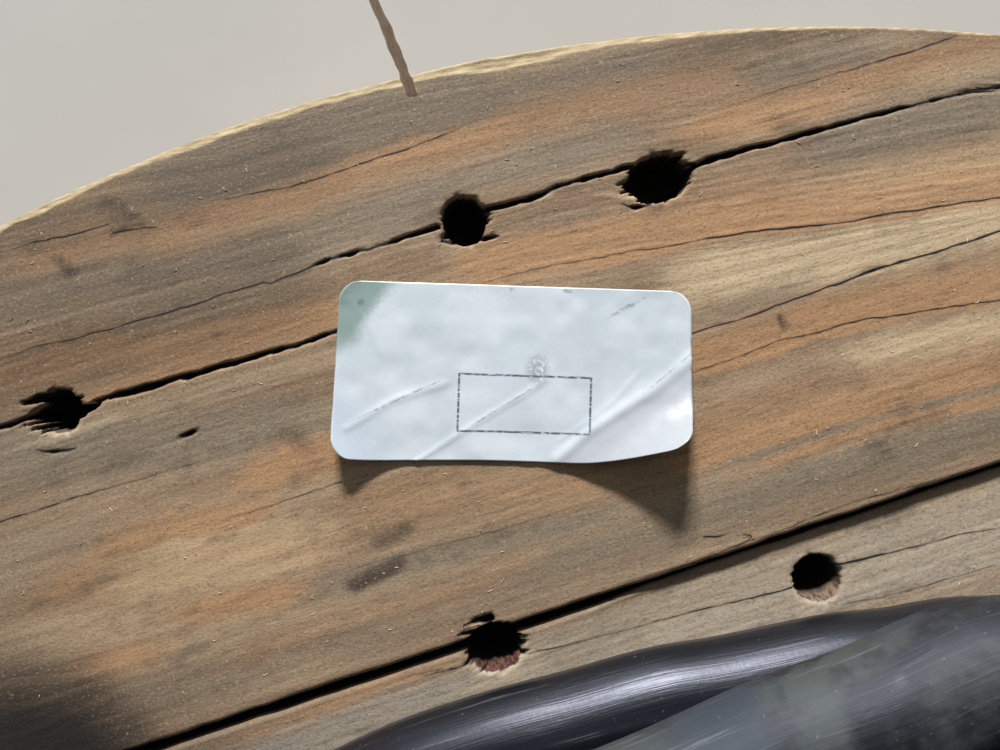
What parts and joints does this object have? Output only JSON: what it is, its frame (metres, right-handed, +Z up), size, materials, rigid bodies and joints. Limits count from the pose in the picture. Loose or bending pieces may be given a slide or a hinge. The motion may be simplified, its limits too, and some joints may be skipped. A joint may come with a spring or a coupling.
{
  "type": "wooden cable drum",
  "caption": "Wooden cable drum standing on its end: two round flanges of crosswise boards, a barrel of staves, tie bolts, and black cable wound on it.",
  "frame": {"origin": "on the floor at the middle of the lower flange's outer face", "axes": "+Z up along the drum's axis, +X along the boards of the lower flange's inner layer"},
  "size_m": [1.0698, 1.0698, 0.52],
  "materials": {
    "inner_boards": "weathered sawn pine",
    "outer_boards": "weathered sawn pine",
    "staves": "sawn pine",
    "tie_steel": "dull, lightly rusted",
    "cable_sheath": "satin black, scuffed and dusty",
    "label_paper": "glossy white label, creased"
  },
  "bodies": {
    "root": {"lower_inner_board_1": "inner_boards", "lower_inner_board_2": "inner_boards", "lower_inner_board_3": "inner_boards", "lower_inner_board_4": "inner_boards", "lower_inner_board_5": "inner_boards", "lower_inner_board_6": "inner_boards", "lower_inner_board_7": "inner_boards", "lower_outer_board_1": "outer_boards", "lower_outer_board_2": "outer_boards", "lower_outer_board_3": "outer_boards", "lower_outer_board_4": "outer_boards", "lower_outer_board_5": "outer_boards", "lower_outer_board_6": "outer_boards", "lower_outer_board_7": "outer_boards", "upper_inner_board_1": "inner_boards", "upper_inner_board_2": "inner_boards", "upper_inner_board_3": "inner_boards", "upper_inner_board_4": "inner_boards", "upper_inner_board_5": "inner_boards", "upper_inner_board_6": "inner_boards", "upper_inner_board_7": "inner_boards", "upper_outer_board_1": "outer_boards", "upper_outer_board_2": "outer_boards", "upper_outer_board_3": "outer_boards", "upper_outer_board_4": "outer_boards", "upper_outer_board_5": "outer_boards", "upper_outer_board_6": "outer_boards", "upper_outer_board_7": "outer_boards", "barrel_stave_01": "staves", "barrel_stave_02": "staves", "barrel_stave_03": "staves", "barrel_stave_04": "staves", "barrel_stave_05": "staves", "barrel_stave_06": "staves", "barrel_stave_07": "staves", "barrel_stave_08": "staves", "barrel_stave_09": "staves", "barrel_stave_10": "staves", "barrel_stave_11": "staves", "barrel_stave_12": "staves", "barrel_stave_13": "staves", "barrel_stave_14": "staves", "barrel_stave_15": "staves", "barrel_stave_16": "staves", "barrel_stave_17": "staves", "barrel_stave_18": "staves", "tie_bolt_1": "tie_steel", "tie_bolt_2": "tie_steel", "tie_bolt_3": "tie_steel", "tie_bolt_4": "tie_steel", "tie_nuts": "tie_steel", "tie_washers": "tie_steel", "cable_winding": "cable_sheath", "label": "label_paper"}
  },
  "joints": []
}
